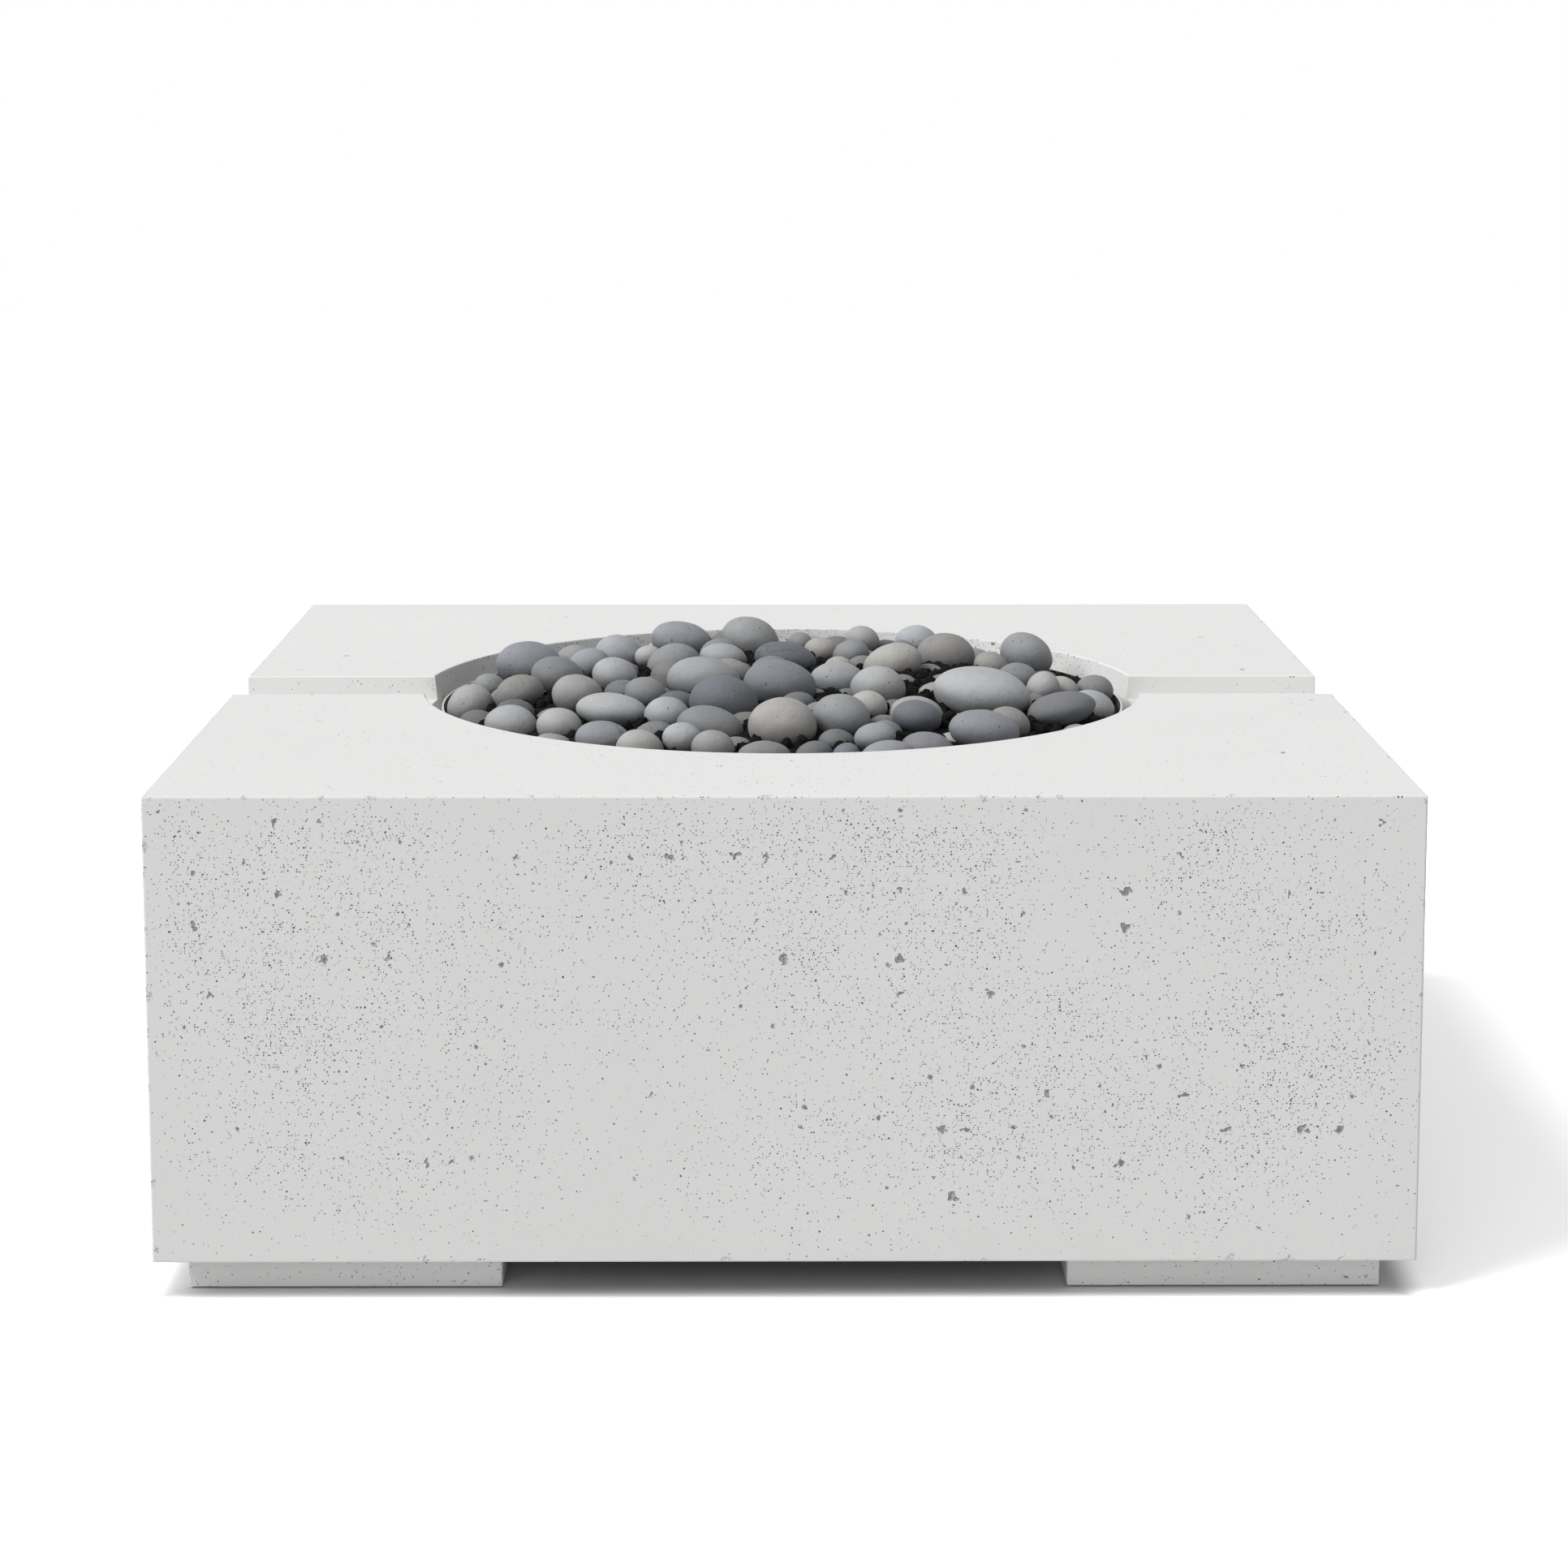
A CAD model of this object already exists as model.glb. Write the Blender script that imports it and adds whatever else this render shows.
import math

import bmesh
import bpy
import numpy as np
from mathutils import Euler, Matrix, Vector, noise


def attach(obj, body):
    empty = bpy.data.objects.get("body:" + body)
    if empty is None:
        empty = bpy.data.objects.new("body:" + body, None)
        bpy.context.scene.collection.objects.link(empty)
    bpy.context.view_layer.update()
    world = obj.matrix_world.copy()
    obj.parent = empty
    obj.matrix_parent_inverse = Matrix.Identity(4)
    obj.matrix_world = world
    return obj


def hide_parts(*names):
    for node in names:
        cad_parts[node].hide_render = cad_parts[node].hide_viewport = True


# Square concrete gas fire pit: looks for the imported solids. Metres, +Z up, front faces -Y.

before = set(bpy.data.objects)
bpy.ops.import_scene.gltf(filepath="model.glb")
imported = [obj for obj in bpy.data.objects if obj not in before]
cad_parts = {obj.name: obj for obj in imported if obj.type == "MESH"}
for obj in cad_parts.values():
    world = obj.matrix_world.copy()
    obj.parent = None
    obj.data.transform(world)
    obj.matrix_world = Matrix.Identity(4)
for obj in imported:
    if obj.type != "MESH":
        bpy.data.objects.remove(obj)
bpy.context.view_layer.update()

# Sizes shared with the solids
half_width = 0.6096
base_z = 0.037
top_z = 0.4942
channel_half = 0.05715
channel_floor = 0.4672
pan_radius = 0.379
heap_rise = 0.034
heap_fall = 0.030
bed_depth = 0.031


# Materials

# How far a surface turns before its flat coordinates change plane, and how far apart the planes lie
half_turned = (0.70, 0.71)
side_shift = 2.7
top_shift = 1.9

# Pits in the concrete: cells per metre, least and greatest radius as a share of a cell, share of
# cells with a scattered pit, what clusters add to that share, and where a pit's border starts
pin_pits = (430.0, 0.17, 0.34, 0.030, 0.260, 0.75)
small_pits = (270.0, 0.15, 0.30, 0.008, 0.080, 0.75)
medium_pits = (100.0, 0.12, 0.26, 0.004, 0.040, 0.7)
large_pits = (30.0, 0.07, 0.16, 0.016, 0.110, 0.5)

# Where the concrete has fewer pits, and how much paler the channel's walls are
top_cleaner = 0.93
channel_cleaner = 0.85
channel_paler = 0.13
clean_share = 0.30
clean_border = (0.004, 0.040)
clean_foot = (0.02, 0.13)

# Chips along the arrises, and the depth that a relief of 1 stands for
chip_bite = 0.0055
chip_fade = (0.0020, 0.0006)
concrete_relief = 0.0026
stone_relief = 0.0010
rock_relief = 0.0022


class Field:
    """A socket's output, so that shader maths reads as plain sums."""

    def __init__(self, finish, socket):
        self.finish = finish
        self.socket = socket

    def maths(self, operation, first, second=0.0):
        return self.finish.node("ShaderNodeMath", {"operation": operation}, {0: first, 1: second})

    def __add__(self, other):
        return self.maths("ADD", self, other)

    def __radd__(self, other):
        return self.maths("ADD", other, self)

    def __sub__(self, other):
        return self.maths("SUBTRACT", self, other)

    def __rsub__(self, other):
        return self.maths("SUBTRACT", other, self)

    def __mul__(self, other):
        return self.maths("MULTIPLY", self, other)

    def __rmul__(self, other):
        return self.maths("MULTIPLY", other, self)

    def __truediv__(self, other):
        return self.maths("DIVIDE", self, other)

    def __abs__(self):
        return self.maths("ABSOLUTE", self)

    def least(self, other):
        return self.maths("MINIMUM", self, other)

    def most(self, other):
        return self.maths("MAXIMUM", self, other)


class NodeTree:
    """A node tree, built node by node by one method."""

    def __init__(self, tree):
        self.tree = tree

    def put(self, node, key, value):
        """Sets or links one socket of a node."""
        socket = node.inputs[key]
        if isinstance(value, Field):
            self.tree.links.new(value.socket, socket)
        elif isinstance(value, tuple) and len(value) == 3 and socket.type == "RGBA":
            socket.default_value = (*value, 1.0)
        else:
            socket.default_value = value

    def node(self, kind, settings=None, sockets=None, out=0):
        """Adds a node; settings are set first, then the sockets. Returns one output."""
        node = self.tree.nodes.new(kind)
        for key, value in (settings or {}).items():
            setattr(node, key, value)
        for key, value in (sockets or {}).items():
            self.put(node, key, value)
        return Field(self, node.outputs[out])

    def seen_ray(self):
        """1 where the camera, a reflection or a view through glass looks, else 0."""
        camera, glossy, through = [
            self.node("ShaderNodeLightPath", out=name)
            for name in ("Is Camera Ray", "Is Glossy Ray", "Is Transmission Ray")]
        return camera.most(glossy).most(through)


class Finish(NodeTree):
    """One procedural material."""

    def __init__(self, name, colour, roughness, metallic=0.0, specular=0.5):
        self.material = bpy.data.materials.new(name)
        self.material.use_nodes = True
        super().__init__(self.material.node_tree)
        self.shader = self.tree.nodes["Principled BSDF"]
        self.shader.inputs["Base Color"].default_value = (*colour, 1.0)
        self.shader.inputs["Roughness"].default_value = roughness
        self.shader.inputs["Metallic"].default_value = metallic
        self.shader.inputs["Specular IOR Level"].default_value = specular
        self.material.diffuse_color = (*colour, 1.0)
        self.spots = {}

    def place(self):
        """Object coordinates."""
        if "place" not in self.spots:
            self.spots["place"] = self.node("ShaderNodeTexCoord", out="Object")
        return self.spots["place"]

    def facing(self):
        """The three parts of the surface's own direction."""
        if "facing" not in self.spots:
            normal = self.node("ShaderNodeTexCoord", out="Normal")
            self.spots["facing"] = self.parts(normal)
        return self.spots["facing"]

    def parts(self, vector):
        """X, Y and Z of a vector."""
        split = self.node("ShaderNodeSeparateXYZ", {}, {0: vector})
        outputs = split.socket.node.outputs
        return [Field(self, outputs[k]) for k in range(3)]

    def stretched(self, scale):
        """Object coordinates with each axis scaled."""
        return self.node("ShaderNodeMapping", {}, {"Vector": self.place(), "Scale": scale})

    def grain(self, scale, detail=2.0, rough=0.5, distortion=0.0, at=None):
        """Cloudy noise, 0 to 1."""
        return self.node("ShaderNodeTexNoise", {}, {
            "Vector": at or self.place(), "Scale": scale, "Detail": detail, "Roughness": rough,
            "Distortion": distortion})

    def cells(self, scale, at=None, flat=False):
        """Distance to the nearest cell centre and three random numbers of that cell."""
        near = self.node("ShaderNodeTexVoronoi", {"voronoi_dimensions": "2D" if flat else "3D"},
                         {"Vector": at or self.place(), "Scale": scale})
        colour = Field(self, near.socket.node.outputs["Color"])
        return near, self.parts(colour)

    def sheet(self):
        """Flat coordinates on whichever of the three planes the surface lies nearest."""
        if "sheet" not in self.spots:
            x, y, z = self.parts(self.place())
            across, along, up = self.facing()
            top = self.fade(abs(up), *half_turned)
            side = self.fade(abs(across), *half_turned)
            u = x + side * (y + side_shift - x)
            v = z + top * (y + top_shift - z)
            self.spots["sheet"] = self.node("ShaderNodeCombineXYZ", {}, {0: u, 1: v, 2: 0.0})
        return self.spots["sheet"]

    def warped(self, scale, amount, base=None):
        """Coordinates pushed about by noise, for ragged outlines."""
        push = self.node("ShaderNodeTexNoise", {}, {
            "Vector": self.place(), "Scale": scale, "Detail": 2.0}, out="Color")
        centred = self.node("ShaderNodeVectorMath", {"operation": "SUBTRACT"},
                            {0: push, 1: (0.5, 0.5, 0.5)})
        scaled = self.node("ShaderNodeVectorMath", {"operation": "SCALE"},
                           {0: centred, "Scale": amount})
        return self.node("ShaderNodeVectorMath", {"operation": "ADD"},
                         {0: base or self.place(), 1: scaled})

    def fade(self, value, low, high, start=0.0, end=1.0):
        """Smooth step from start at low to end at high."""
        return self.node("ShaderNodeMapRange", {"interpolation_type": "SMOOTHSTEP"}, {
            "Value": value, "From Min": low, "From Max": high, "To Min": start, "To Max": end})

    def mixed(self, share, first, second, blend="MIX"):
        """Mix of two colours."""
        return self.node("ShaderNodeMix", {"data_type": "RGBA", "blend_type": blend},
                         {0: share, 6: first, 7: second}, out=2)

    def shaded(self, colour, factor):
        """A colour made darker or lighter by a number."""
        grey = self.node("ShaderNodeCombineColor", {}, {0: factor, 1: factor, 2: factor})
        return self.mixed(1.0, colour, grey, "MULTIPLY")

    def attribute(self, name, out="Fac"):
        """A value kept on the mesh."""
        return self.node("ShaderNodeAttribute", {"attribute_name": name}, {}, out=out)

    def colour(self, value):
        self.put(self.shader, "Base Color", value)

    def roughness(self, value):
        self.put(self.shader, "Roughness", value)

    def relief(self, height, distance, strength=1.0):
        """Bump from a height field."""
        bump = self.node("ShaderNodeBump", {}, {
            "Height": height, "Distance": distance, "Strength": strength})
        self.put(self.shader, "Normal", bump)


def pocks(finish, at, scale, low, high, density, flat=False, soft=0.55):
    """Holes of random size, and their cores: 1 inside, 0 outside. Density picks the cells."""
    distance, chance = finish.cells(scale, at, flat)
    size = low + chance[0] * chance[0] * (high - low)
    chosen = finish.fade(density - chance[1], -0.004, 0.004)
    share = distance / size
    return finish.fade(share, 1.0, soft) * chosen, finish.fade(share, 0.85, 0.15) * chosen


def cast_concrete(name, colour, pores=1.0, edges=True):
    """Pale cast concrete: drifting pinholes, ragged bug holes, small chips at the arrises."""
    finish = Finish(name, colour, 0.82, specular=0.25)
    x, y, z = finish.parts(finish.place())
    up = finish.facing()[2]
    flat_top = finish.fade(up, 0.6, 0.9)
    wide = finish.fade(finish.grain(3.4, 2.0, 0.5, 0.4), 0.34, 0.62)
    close = finish.fade(finish.grain(17.0, 3.0, 0.6), 0.30, 0.66)
    gathered = wide * (0.30 + 0.70 * close)
    amount = pores * (1 - top_cleaner * flat_top)
    if edges:
        far_x = half_width - abs(x)
        far_y = half_width - abs(y)
        far_z = (z - base_z).least(top_z - z)
        edge = (far_x + far_y).least(far_y + far_z).least(far_x + far_z)
        foot_from, foot_to = clean_foot
        low_face = finish.fade(z, base_z + foot_from, base_z + foot_to, clean_share, 1.0)
        amount = amount * low_face * finish.fade(edge, *clean_border, clean_share, 1.0)
        in_channel = finish.fade(abs(y), channel_half + 0.003, channel_half + 0.001)
        in_channel = in_channel * finish.fade(z, channel_floor - 0.004, channel_floor)
        amount = amount * (1 - channel_cleaner * in_channel)

    def pits(kind, at, clusters):
        """One size of pit and its cores."""
        scale, low, high, scattered, added, soft = kind
        density = (scattered + added * clusters) * amount
        return pocks(finish, at, scale, low, high, density, True, soft)

    face = finish.sheet()
    ragged = finish.warped(900.0, 0.0012, face)
    torn = finish.warped(330.0, 0.0060, face)
    very_torn = finish.warped(150.0, 0.0170, face)
    pin = pits(pin_pits, ragged, gathered)[0]
    small = pits(small_pits, ragged, gathered)[0]
    medium, medium_core = pits(medium_pits, torn, gathered)
    large, large_core = pits(large_pits, very_torn, wide)
    holes = (0.88 * pin).most(0.86 * small).most(0.30 * medium + 0.50 * medium_core)
    holes = holes.most(0.12 * large + 0.62 * large_core)
    depth = (0.35 * pin).most(0.60 * small).most(0.95 * medium).most(1.6 * large)
    clouds = finish.grain(2.6, 5.0, 0.6)
    veil = finish.grain(11.0, 4.0, 0.65, 0.4)
    sand = finish.grain(620.0, 2.0, 0.6)
    tone = 0.955 + 0.05 * clouds + 0.03 * veil + 0.02 * sand
    if edges:
        bite = finish.fade(finish.grain(48.0, 4.0, 0.65), 0.58, 0.72)
        chips = finish.fade(edge - bite * chip_bite, *chip_fade)
        tone = tone * (1 - 0.12 * chips) * (1 + channel_paler * in_channel * (1 - flat_top))
        depth = depth.most(0.5 * chips * bite)
    finish.colour(finish.shaded(colour, tone * (1 - holes)))
    finish.roughness(0.80 + 0.08 * clouds)
    height = 0.05 * sand + 0.06 * finish.grain(150.0, 3.0, 0.55) + 0.20 * veil - depth
    finish.relief(height, concrete_relief)
    return finish.material


def tumbled_stone(name, light, dark, warm):
    """Matte tumbled pebble: tone and warmth differ from stone to stone, faint mottling, pits."""
    finish = Finish(name, light, 0.72, specular=0.28)
    tone = finish.attribute("tone")
    warmth = finish.attribute("warmth")
    veined = finish.attribute("veined")
    base = finish.mixed(tone, dark, light)
    base = finish.mixed(warmth, base, warm)
    mottle = finish.grain(34.0, 4.0, 0.65, 0.5)
    speck = finish.grain(420.0, 3.0, 0.7)
    dust = finish.grain(110.0, 4.0, 0.7)
    worn = finish.fade(finish.facing()[2], -0.6, 0.9, 0.62, 1.14)
    base = finish.shaded(base, worn * (0.70 + 0.30 * mottle + 0.22 * dust + 0.14 * speck))
    pits = pocks(finish, finish.warped(500.0, 0.0012), 240.0, 0.18, 0.36, 0.02 + 0.05 * mottle)[0]
    line = abs(finish.grain(21.0, 3.0, 0.5, 1.5) - 0.5)
    vein = finish.fade(line, 0.010, 0.002) * veined
    base = finish.shaded(base, 1 - 0.45 * pits - 0.30 * vein)
    finish.colour(base)
    finish.roughness(0.66 + 0.16 * dust)
    height = 0.40 * finish.grain(260.0, 3.0, 0.6) + 0.6 * dust - 0.8 * pits - 0.5 * vein
    finish.relief(height, stone_relief)
    return finish.material


def porous_rock(name):
    """Dark porous lava rock."""
    colour = (0.013, 0.0125, 0.0125)
    finish = Finish(name, colour, 0.97, specular=0.05)
    blotch = finish.grain(60.0, 4.0, 0.7)
    distance = finish.cells(420.0, finish.warped(300.0, 0.002))[0]
    pore = finish.fade(distance, 0.35, 0.18)
    finish.colour(finish.shaded(colour, 0.55 + 0.9 * blotch - 0.35 * pore))
    finish.relief(0.6 * finish.grain(180.0, 4.0, 0.7) - 0.8 * pore, rock_relief)
    return finish.material


def steel(name, colour, roughness, streak, scale=(1.0, 1.0, 1.0), tarnish=0.15):
    """Bare steel: fine streaks along one axis and a cloudy tarnish."""
    finish = Finish(name, colour, roughness, metallic=1.0)
    lines = finish.grain(streak, 3.0, 0.6, at=finish.stretched(scale))
    cloud = finish.grain(14.0, 4.0, 0.6)
    stained = 0.6 * cloud + 0.4 * lines
    finish.colour(finish.shaded(colour, 1.0 - tarnish + 2.0 * tarnish * stained))
    finish.roughness(roughness - 0.08 + 0.16 * lines + 0.06 * cloud)
    finish.relief(lines, 0.0002, 0.6)
    return finish.material


def zinc_plate(name):
    """Zinc-plated steel: pale blue-grey with soft crystal patches."""
    finish = Finish(name, (0.56, 0.58, 0.60), 0.38, metallic=1.0)
    chance = finish.cells(240.0)[1]
    cloud = finish.grain(30.0, 3.0, 0.6)
    finish.colour(finish.shaded((0.58, 0.60, 0.62), 0.84 + 0.16 * chance[0] + 0.14 * cloud))
    finish.roughness(0.30 + 0.16 * cloud + 0.06 * chance[1])
    finish.relief(finish.grain(500.0, 2.0), 0.0001)
    return finish.material


def machined_brass(name):
    """Machined brass with handling marks."""
    finish = Finish(name, (0.78, 0.58, 0.27), 0.30, metallic=1.0)
    cloud = finish.grain(40.0, 4.0, 0.6)
    lines = finish.grain(900.0, 2.0, 0.5, at=finish.stretched((1.0, 1.0, 12.0)))
    handled = finish.fade(cloud, 0.45, 0.75)
    finish.colour(finish.mixed(handled, (0.80, 0.60, 0.28), (0.52, 0.37, 0.17)))
    finish.roughness(0.24 + 0.14 * cloud + 0.08 * lines)
    finish.relief(lines, 0.00012)
    return finish.material


def black_iron(name):
    """Malleable iron pipe with a dull black coat."""
    finish = Finish(name, (0.035, 0.035, 0.037), 0.55, specular=0.4)
    cloud = finish.grain(60.0, 4.0, 0.7)
    worn = finish.fade(cloud, 0.5, 0.8)
    finish.colour(finish.mixed(worn, (0.03, 0.03, 0.032), (0.075, 0.065, 0.06)))
    finish.roughness(0.45 + 0.25 * cloud)
    finish.relief(finish.grain(450.0, 3.0, 0.6), 0.0003)
    return finish.material


def dull_rubber(name):
    """Black rubber sheet with a dusty bloom."""
    finish = Finish(name, (0.022, 0.022, 0.023), 0.85, specular=0.3)
    bloom = finish.grain(90.0, 4.0, 0.7)
    finish.colour(finish.mixed(bloom * 0.3, (0.02, 0.02, 0.021), (0.10, 0.10, 0.098)))
    finish.relief(finish.grain(700.0, 2.0, 0.6), 0.0002)
    return finish.material


def moulded_plastic(name, colour):
    """Moulded plastic with a fine spark-eroded grain."""
    finish = Finish(name, colour, 0.48, specular=0.45)
    cloud = finish.grain(50.0, 3.0, 0.6)
    finish.colour(finish.shaded(colour, 0.9 + 0.2 * cloud))
    finish.roughness(0.42 + 0.14 * cloud)
    finish.relief(finish.grain(1500.0, 2.0, 0.6), 0.00012)
    return finish.material


def braided_steel(name):
    """Fine stainless braid over a hose."""
    finish = Finish(name, (0.60, 0.59, 0.57), 0.33, metallic=1.0)
    weave = finish.node("ShaderNodeTexChecker", {}, {
        "Vector": finish.place(), "Scale": 620.0}, out="Fac")
    strand = finish.grain(700.0, 2.0, 0.5)
    finish.colour(finish.shaded((0.62, 0.61, 0.59), 0.62 + 0.3 * weave + 0.16 * strand))
    finish.roughness(0.28 + 0.14 * strand)
    finish.relief(weave + 0.5 * strand, 0.0004)
    return finish.material


body_concrete = cast_concrete("body_concrete", (0.67, 0.67, 0.665))
foot_concrete = cast_concrete("foot_concrete", (0.68, 0.68, 0.675), pores=0.3, edges=False)
door_concrete = cast_concrete("door_concrete", (0.66, 0.66, 0.655), pores=0.8, edges=False)
pan_steel = steel("pan_steel", (0.62, 0.61, 0.59), 0.34, 260.0, (1.0, 1.0, 14.0))
burner_steel = steel("burner_steel", (0.50, 0.47, 0.43), 0.42, 300.0, tarnish=0.3)
pull_steel = steel("pull_steel", (0.66, 0.65, 0.63), 0.26, 700.0, (12.0, 1.0, 1.0), 0.08)
zinc = zinc_plate("zinc_plate")
brass = machined_brass("machined_brass")
iron = black_iron("black_iron")
rubber = dull_rubber("pad_rubber")
knob_plastic = moulded_plastic("knob_plastic", (0.025, 0.025, 0.026))
lever_coat = moulded_plastic("lever_coat", (0.42, 0.035, 0.028))
hose_braid = braided_steel("hose_braid")
nickel = steel("magnet_nickel", (0.72, 0.70, 0.66), 0.18, 400.0, tarnish=0.05)
lava = porous_rock("lava_rock")

node_finishes = {
    "concrete_body": body_concrete,
    "foot_front_left": foot_concrete, "foot_front_right": foot_concrete,
    "foot_rear_left": foot_concrete, "foot_rear_right": foot_concrete,
    "foot_pads": rubber,
    "foot_bolts": zinc, "foot_washers": zinc, "foot_nuts": zinc,
    "burner_pan": pan_steel, "burner_ring": burner_steel, "burner_nipple": burner_steel,
    "nipple_locknuts": zinc, "lava_rock_bed": lava,
    "access_frame": zinc, "frame_screws": zinc,
    "access_door": door_concrete, "door_pull": pull_steel, "door_magnets": nickel,
    "hinge_leaves_frame": pull_steel, "hinge_leaves_door": pull_steel, "hinge_pins": pull_steel,
    "gas_inlet_fitting": brass, "supply_riser": iron, "shutoff_valve_body": brass,
    "shutoff_stem": pull_steel, "shutoff_lever": lever_coat, "shutoff_nut": zinc,
    "supply_bend": iron, "control_plate": zinc, "control_valve_body": brass,
    "control_nut": brass, "valve_stem": pull_steel, "control_knob": knob_plastic,
    "flex_hose": hose_braid, "hose_nuts": brass, "orifice_elbow": brass,
    "riser_clip": zinc, "hose_clip": zinc, "gas_screws": zinc,
}
for node_name, material in node_finishes.items():
    node_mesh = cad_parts[node_name].data
    node_mesh.materials.clear()
    node_mesh.materials.append(material)


# Pebbles

# Unevenness of a stone: what is kept of the ball, then noise per radius and its amount
stone_keep = 0.982
stone_waves = ((0.9, 0.030), (2.2, 0.016), (7.0, 0.004))
stone_taper = 0.02

# Random numbers of a stone: a large factor on the sine of its seed turned by each of these
draw_factor = 43758.5453
draw_turns = (12.99, 78.23, 37.72)
most_warmth = 0.6
veined_above = 0.965

# Node, slot, fineness of the mesh, pale tone, dark tone, warm tone and first seed
pebble_kinds = [
    ("pebbles_grey", "pebble_grey", 4,
     (0.345, 0.351, 0.359), (0.150, 0.154, 0.160), (0.29, 0.282, 0.272), 1),
    ("pebbles_blue_grey", "pebble_blue_grey", 4,
     (0.320, 0.334, 0.354), (0.158, 0.168, 0.184), (0.28, 0.28, 0.28), 101),
    ("pebbles_slate", "pebble_slate", 4,
     (0.160, 0.172, 0.192), (0.080, 0.087, 0.100), (0.18, 0.18, 0.18), 201),
    ("pebbles_buff", "pebble_buff", 4,
     (0.345, 0.336, 0.322), (0.185, 0.181, 0.174), (0.36, 0.35, 0.335), 301),
    ("pebbles_lower", "pebble_grey", 3,
     (0.185, 0.189, 0.195), (0.080, 0.083, 0.087), (0.17, 0.166, 0.16), 401),
]


def loose_parts(node_name):
    """Corner positions of each separate solid of a node."""
    mesh = bmesh.new()
    mesh.from_mesh(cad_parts[node_name].data)
    bmesh.ops.remove_doubles(mesh, verts=mesh.verts, dist=1e-6)
    mesh.verts.ensure_lookup_table()
    seen = set()
    parts = []
    for start in mesh.verts:
        if start.index in seen:
            continue
        seen.add(start.index)
        stack = [start]
        points = []
        while stack:
            vert = stack.pop()
            points.append(tuple(vert.co))
            for edge in vert.link_edges:
                other = edge.other_vert(vert)
                if other.index not in seen:
                    seen.add(other.index)
                    stack.append(other)
        parts.append(np.array(points))
    mesh.free()
    return parts


def ellipsoid(points):
    """Centre, axes and half lengths of the ellipsoid on which the points lie."""
    middle = points.mean(axis=0)
    size = np.ptp(points, axis=0).max()
    x, y, z = ((points - middle) / size).T
    rows = np.stack([x * x, y * y, z * z, 2 * x * y, 2 * x * z, 2 * y * z, 2 * x, 2 * y, 2 * z], 1)
    a, b, c, d, e, f, g, h, i = np.linalg.lstsq(rows, np.ones(len(rows)), rcond=None)[0]
    matrix = np.array([[a, d, e], [d, b, f], [e, f, c]])
    pull = np.array([g, h, i])
    centre = -np.linalg.solve(matrix, pull)
    scale = 1 + centre @ matrix @ centre
    values, axes = np.linalg.eigh(matrix / scale)
    return middle + centre * size, axes, size / np.sqrt(values)


def stone_shape(seed, detail):
    """A unit pebble: a ball made uneven, never wider than the ball."""
    mesh = bmesh.new()
    bmesh.ops.create_icosphere(mesh, subdivisions=detail, radius=1.0)
    offset = Vector((seed * 3.17, seed * 1.71, seed * 2.39))
    lean = math.sin(seed * 12.9898)
    tuck = math.cos(seed * 4.1414)
    for vert in mesh.verts:
        spot = vert.co.normalized()
        keep = stone_keep
        for scale, amount in stone_waves:
            keep += amount * noise.noise(spot * scale + offset)
        shape = spot * min(keep, 1.0)
        shape.x *= 1 - stone_taper * (1 + lean * spot.z)
        shape.y *= 1 - stone_taper * (1 + tuck * spot.x)
        vert.co = shape
    return mesh


def dress_pebbles(node_name, slot, detail, light, dark, warm, first_seed):
    """Replaces a node of smooth ellipsoids with tumbled stones in the same places."""
    joined = bmesh.new()
    tone = joined.verts.layers.float.new("tone")
    warmth = joined.verts.layers.float.new("warmth")
    veined = joined.verts.layers.float.new("veined")
    shapes = []
    for k, points in enumerate(loose_parts(node_name)):
        centre, axes, halves = ellipsoid(points)
        shapes.append((centre, axes, halves))
        seed = first_seed + k
        stone = stone_shape(seed, detail)
        turn = np.eye(4)
        turn[:3, :3] = axes * halves
        if np.linalg.det(axes) < 0:
            turn[:3, 0] *= -1
        turn[:3, 3] = centre
        bmesh.ops.transform(stone, matrix=Matrix(turn), verts=stone.verts)
        piece = bpy.data.meshes.new("stone")
        stone.to_mesh(piece)
        stone.free()
        before = len(joined.verts)
        joined.from_mesh(piece)
        bpy.data.meshes.remove(piece)
        joined.verts.ensure_lookup_table()
        draw = [(math.sin((seed + 1) * turn_by) * draw_factor) % 1 for turn_by in draw_turns]
        for vert in joined.verts[before:]:
            vert[tone] = draw[0]
            vert[warmth] = most_warmth * draw[1] ** 4
            vert[veined] = 1.0 if draw[2] > veined_above else 0.0
    mesh = bpy.data.meshes.new(node_name + "_stones")
    joined.to_mesh(mesh)
    joined.free()
    mesh.polygons.foreach_set("use_smooth", [True] * len(mesh.polygons))
    piece = bpy.data.objects.new(node_name + "_stones", mesh)
    bpy.context.scene.collection.objects.link(piece)
    mesh.materials.append(tumbled_stone(node_name + "_surface", light, dark, warm))
    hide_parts(node_name)
    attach(piece, "pit")
    return shapes


stones = []
for pebble_kind in pebble_kinds:
    stones += dress_pebbles(*pebble_kind)


# Lava rock between the pebbles

# Spacing and scatter of the lumps, their size, how close they come to pan and stones, their form
chip_seed = 7
chip_pitch = 0.0125
chip_scatter = 0.7
chip_least = 0.0055
chip_range = 0.0035
chip_from_pan = 0.002
chip_lift = 0.001
chip_touch = 0.75
chip_form = (1.2, 1.0, 0.8)
chip_ragged = 0.38
chip_grain = 260
chip_turn = 9
row_step = 1.37
column_step = 1.91
chip_level = 4.2


def bed_surface(x, y):
    """Height of the lava rock's dome."""
    share = math.hypot(x, y) / pan_radius
    return top_z + heap_rise - heap_fall * share ** 4 - bed_depth


def clear_of_stones(spot, reach, centres, turned, halves):
    """True where a small ball round the spot touches no pebble."""
    local = np.einsum("nji,nj->ni", turned, spot - centres)
    return bool(np.all(((local / (halves + reach)) ** 2).sum(1) > 1.0))


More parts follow.
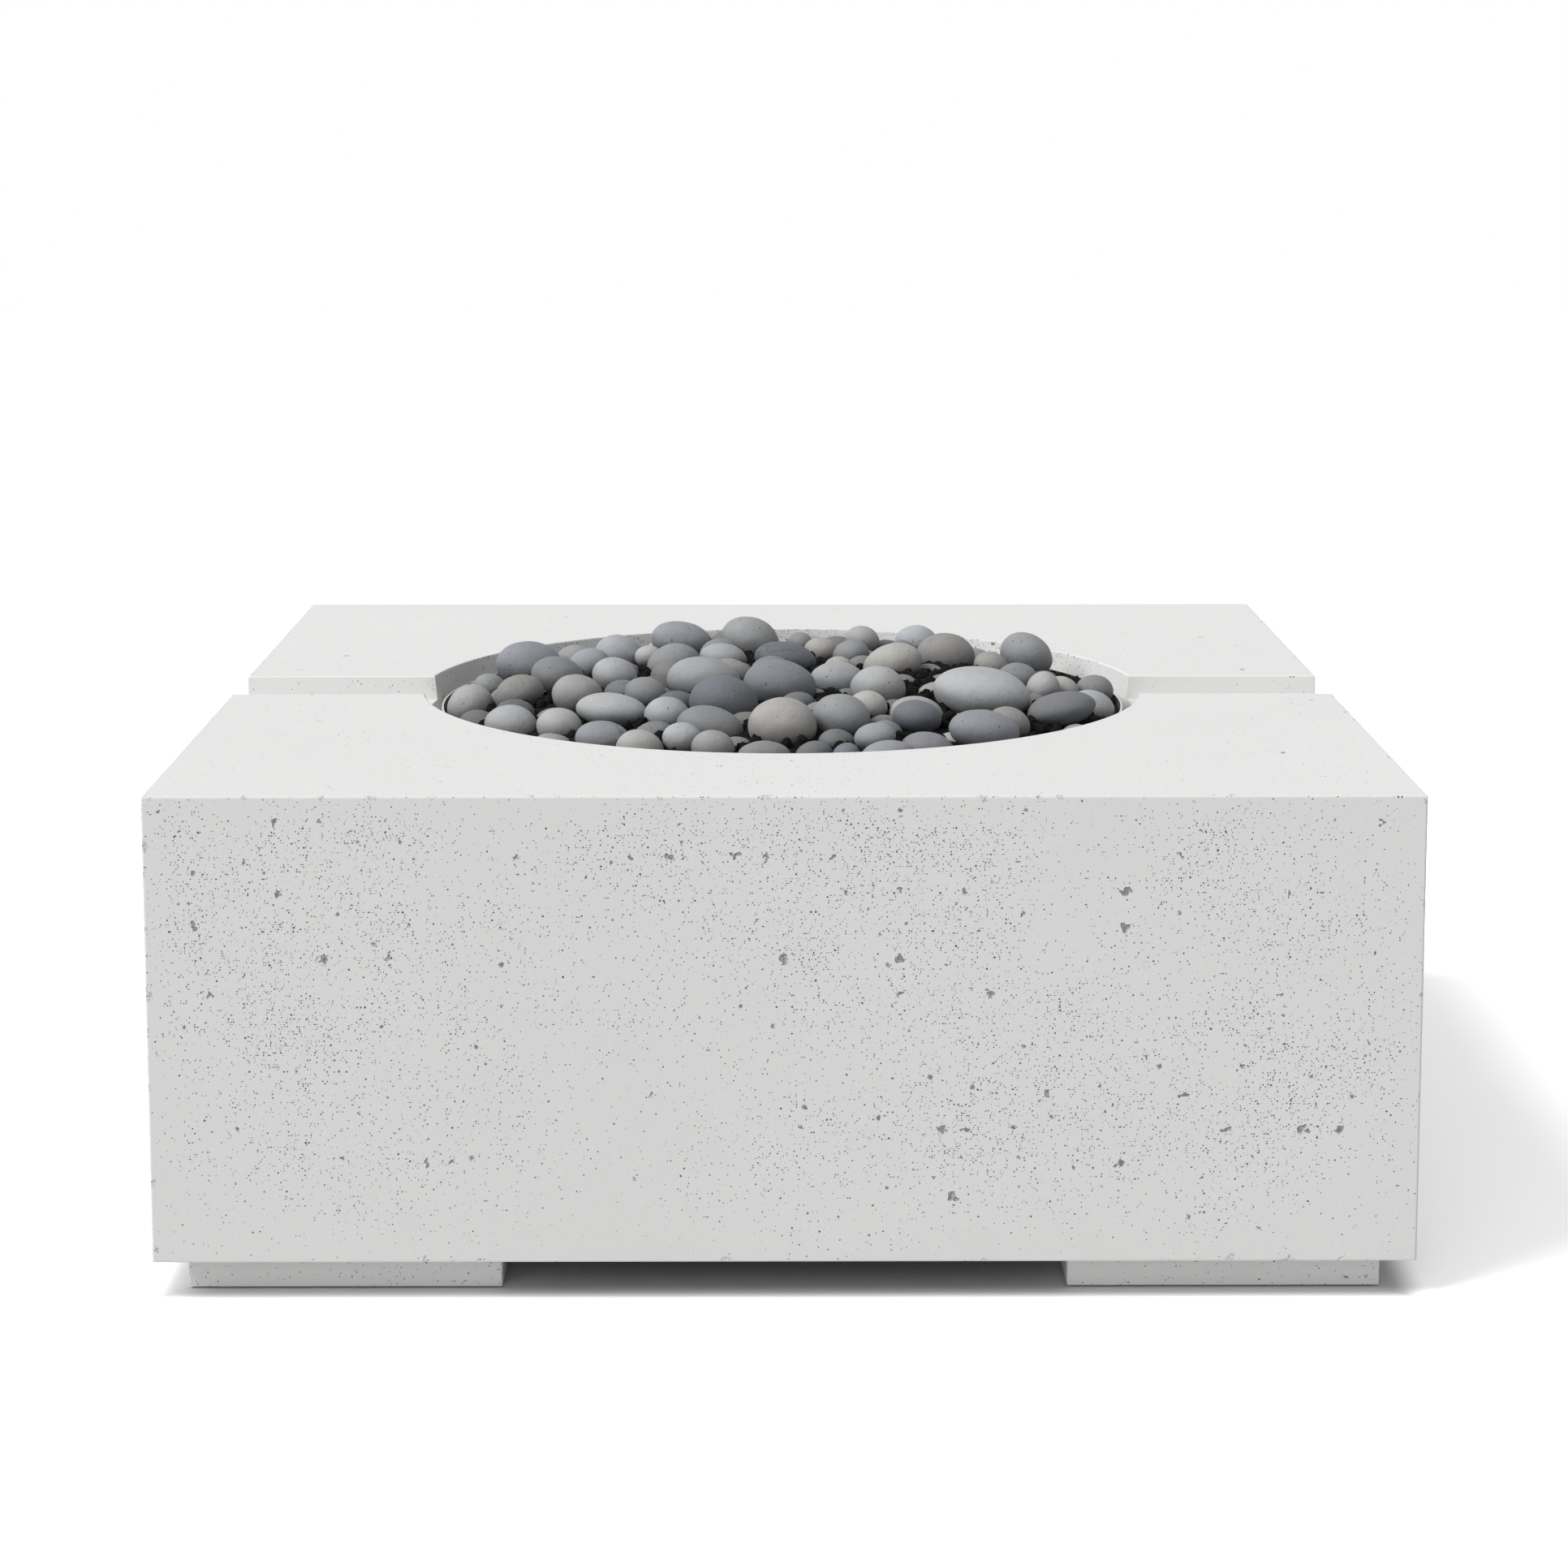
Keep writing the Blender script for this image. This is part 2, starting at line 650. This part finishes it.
def rock_chips():
    """Broken lava rock on the bed, wherever no pebble lies."""
    centres = np.array([s[0] for s in stones])
    turned = np.array([s[1] for s in stones])
    halves = np.array([s[2] for s in stones])
    joined = bmesh.new()
    noise.seed_set(chip_seed)
    long, broad, high = chip_form
    reach = int(pan_radius / chip_pitch)
    count = 0
    for row in range(-reach, reach + 1):
        for column in range(-reach, reach + 1):
            key = Vector((row * row_step, column * column_step, chip_level))
            jitter = noise.noise_vector(key)
            x = (column + chip_scatter * jitter.x + 0.5 * (row % 2)) * chip_pitch
            y = (row + chip_scatter * jitter.y) * chip_pitch
            size = chip_least + chip_range * abs(jitter.z)
            if math.hypot(x, y) > pan_radius - size - chip_from_pan:
                continue
            z = bed_surface(x, y) + chip_lift
            spot = np.array([x, y, z])
            if not clear_of_stones(spot, size * chip_touch, centres, turned, halves):
                continue
            before = len(joined.verts)
            bmesh.ops.create_icosphere(joined, subdivisions=2, radius=size)
            joined.verts.ensure_lookup_table()
            turns = (jitter.x * chip_turn, jitter.y * chip_turn, jitter.z * chip_turn)
            turn = Euler(turns).to_matrix()
            for vert in joined.verts[before:]:
                ragged = 1 + chip_ragged * noise.noise(vert.co * chip_grain + key * 3)
                lump = (vert.co.x * ragged * long, vert.co.y * ragged * broad,
                        vert.co.z * ragged * high)
                vert.co = turn @ Vector(lump)
                vert.co += Vector((x, y, z))
            count += 1
    mesh = bpy.data.meshes.new("lava_rock_chips")
    joined.to_mesh(mesh)
    joined.free()
    mesh.materials.append(lava)
    piece = bpy.data.objects.new("lava_rock_chips", mesh)
    bpy.context.scene.collection.objects.link(piece)
    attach(piece, "pit")
    print("lava rock chips:", count)


rock_chips()


# Floor, light and camera

floor_reach = 14.0
floor_seen = (1.7, 1.7, 1.7)
floor_lit = (0.6, 0.6, 0.6)
shade_edge = 0.02


def studio_floor():
    """Pale floor that reads as white to the camera and keeps the shadow."""
    mesh = bpy.data.meshes.new("studio_floor")
    ground = bmesh.new()
    bmesh.ops.create_grid(ground, x_segments=1, y_segments=1, size=floor_reach)
    ground.to_mesh(mesh)
    ground.free()
    finish = Finish("studio_floor", floor_lit, 0.9)
    finish.tree.nodes.remove(finish.shader)
    across, along = finish.parts(finish.place())[:2]
    outward = abs(across).most(abs(along))
    outside = finish.fade(outward, half_width - shade_edge, half_width + shade_edge)
    lit = finish.node("ShaderNodeBsdfDiffuse", {}, {"Color": floor_lit})
    seen = finish.node("ShaderNodeBsdfDiffuse", {}, {"Color": floor_seen})
    share = finish.seen_ray() * outside
    both = finish.node("ShaderNodeMixShader", {}, {0: share, 1: lit, 2: seen})
    finish.put(finish.tree.nodes["Material Output"], "Surface", both)
    mesh.materials.append(finish.material)
    floor = bpy.data.objects.new("studio_floor", mesh)
    bpy.context.scene.collection.objects.link(floor)


def studio_world(strength):
    """Even white surroundings, pure white where the camera or a reflection sees them."""
    world = bpy.data.worlds.new("studio")
    bpy.context.scene.world = world
    world.use_nodes = True
    light = NodeTree(world.node_tree)
    level = light.node("ShaderNodeMapRange", {}, {
        "Value": light.seen_ray(), "To Min": strength, "To Max": 1.0})
    background = light.tree.nodes["Background"]
    light.put(background, "Color", (1.0, 1.0, 1.0))
    light.put(background, "Strength", level)


def soft_sun(name, towards, strength, spread):
    """Even lamp that shines along a direction, with soft shadows."""
    data = bpy.data.lights.new(name, "SUN")
    data.energy = strength
    data.angle = spread
    lamp = bpy.data.objects.new(name, data)
    lamp.rotation_euler = Vector(towards).to_track_quat("-Z", "Y").to_euler()
    bpy.context.scene.collection.objects.link(lamp)


ambient_level = 0.48
key_towards = (0.66, 0.22, -0.71)
key_strength = 2.85
key_spread = math.radians(38)
fill_towards = (0.30, 0.92, -0.20)
fill_strength = 0.62
fill_spread = math.radians(50)

studio_floor()
studio_world(ambient_level)
soft_sun("key", key_towards, key_strength, key_spread)
soft_sun("fill", fill_towards, fill_strength, fill_spread)

camera_place = (-0.01574, -3.75182, 1.15152)
camera_pitch = 0.13334
camera_yaw = -0.00477
camera_roll = 0.00007
camera_lens = 77.7072
camera_sensor = 36.0
camera_rise = -0.15

lens_data = bpy.data.cameras.new("camera")
lens_data.sensor_width = camera_sensor
lens_data.lens = camera_lens
lens_data.shift_y = camera_rise
camera = bpy.data.objects.new("camera", lens_data)
camera.location = camera_place
camera.rotation_euler = Euler((math.pi / 2 - camera_pitch, camera_roll, camera_yaw))
bpy.context.scene.collection.objects.link(camera)
bpy.context.scene.camera = camera
bpy.context.scene.view_settings.view_transform = "Standard"
